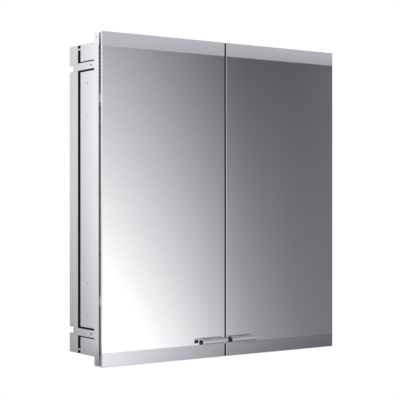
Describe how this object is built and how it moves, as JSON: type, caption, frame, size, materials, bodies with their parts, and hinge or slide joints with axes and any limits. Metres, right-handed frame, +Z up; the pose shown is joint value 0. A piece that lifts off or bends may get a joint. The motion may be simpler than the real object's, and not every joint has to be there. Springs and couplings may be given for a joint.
{
  "type": "recessed medicine cabinet with mirror",
  "caption": "Recessed aluminium medicine cabinet with mirrored hinged doors, frosted light bands above and below, short chrome grips and glass shelves inside.",
  "frame": {"origin": "centre of the rear face of the back panel", "axes": "+X to the right as seen from the front, +Y into the wall, +Z up; the doors face -Y"},
  "size_m": [0.6, 0.1487, 0.66],
  "materials": {
    "anodised_aluminium": "satin anodised, fine brushing along the length",
    "polished_trim": "polished",
    "galvanised_sheet": "dull zinc",
    "black_seal": "matte",
    "screw_steel": "bright zinc",
    "hinge_nickel": "satin nickel",
    "chrome_grip": "polished",
    "door_mirror": "silvered glass with frosted bands",
    "inner_mirror": "silvered glass",
    "shelf_glass": "clear, polished edges",
    "opal_plastic": "opal, satin",
    "led_board": "white solder mask with yellow chips",
    "cover_sheet": "fine grey powder coat",
    "white_plastic": "moulded",
    "switch_plastic": "satin grey",
    "soft_rubber": "translucent grey"
  },
  "bodies": {
    "cabinet": {"back_panel": "galvanised_sheet", "bottom_diffuser": "opal_plastic", "bottom_led_strip": "led_board", "bottom_light_housing": "anodised_aluminium", "bottom_panel": "anodised_aluminium", "cable_grommet": "soft_rubber", "corner_brackets": "galvanised_sheet", "cover_screws": "screw_steel", "driver_cover": "cover_sheet", "led_driver": "white_plastic", "left_front_cheek": "anodised_aluminium", "left_front_trim": "polished_trim", "left_groove_seal": "black_seal", "left_hinge_arms": "hinge_nickel", "left_hinge_pins": "screw_steel", "left_hinge_plates": "hinge_nickel", "left_hinge_screws": "screw_steel", "left_inner_wall": "anodised_aluminium", "left_rear_cheek": "anodised_aluminium", "left_shelf_rails": "anodised_aluminium", "left_straps": "anodised_aluminium", "rear_mirror": "inner_mirror", "right_front_cheek": "anodised_aluminium", "right_front_trim": "polished_trim", "right_groove_seal": "black_seal", "right_hinge_arms": "hinge_nickel", "right_hinge_pins": "screw_steel", "right_hinge_plates": "hinge_nickel", "right_hinge_screws": "screw_steel", "right_inner_wall": "anodised_aluminium", "right_rear_cheek": "anodised_aluminium", "right_shelf_rails": "anodised_aluminium", "right_straps": "anodised_aluminium", "side_screws": "screw_steel", "strap_backings": "black_seal", "switch_housing": "switch_plastic", "switch_spring": "screw_steel", "terminal_block": "white_plastic", "top_diffuser": "opal_plastic", "top_led_strip": "led_board", "top_light_housing": "anodised_aluminium", "top_panel": "anodised_aluminium"},
    "left_door": {"left_door_glass": "door_mirror", "left_inner_mirror": "inner_mirror", "left_door_grip": "chrome_grip", "left_door_bumpers": "soft_rubber", "left_hinge_leaves": "hinge_nickel", "left_leaf_screws": "screw_steel"},
    "right_door": {"right_door_glass": "door_mirror", "right_inner_mirror": "inner_mirror", "right_door_grip": "chrome_grip", "right_door_bumpers": "soft_rubber", "right_hinge_leaves": "hinge_nickel", "right_leaf_screws": "screw_steel"},
    "upper_shelf": {"upper_shelf_glass": "shelf_glass", "upper_shelf_clamps": "chrome_grip"},
    "lower_shelf": {"lower_shelf_glass": "shelf_glass", "lower_shelf_clamps": "chrome_grip"},
    "light_switch": {"switch_button": "switch_plastic"}
  },
  "joints": [
    {"name": "left_door_hinge", "type": "hinge", "parent": "cabinet", "child": "left_door", "pos_m": [-0.2972, -0.1198, 0], "axis": [0, 0, -1], "range_deg": [0, 110]},
    {"name": "right_door_hinge", "type": "hinge", "parent": "cabinet", "child": "right_door", "pos_m": [0.2972, -0.1198, 0], "axis": [0, 0, 1], "range_deg": [0, 110]},
    {"name": "upper_shelf_height", "type": "slide", "parent": "cabinet", "child": "upper_shelf", "axis": [0, 0, 1], "range_m": [-0.05, 0.05]},
    {"name": "lower_shelf_height", "type": "slide", "parent": "cabinet", "child": "lower_shelf", "axis": [0, 0, 1], "range_m": [-0.05, 0.05]},
    {"name": "light_switch_press", "type": "slide", "parent": "cabinet", "child": "light_switch", "axis": [0, 1, 0], "range_m": [0, 0.002], "stiffness_N_per_m": 400, "deforming": ["switch_spring"]}
  ]
}
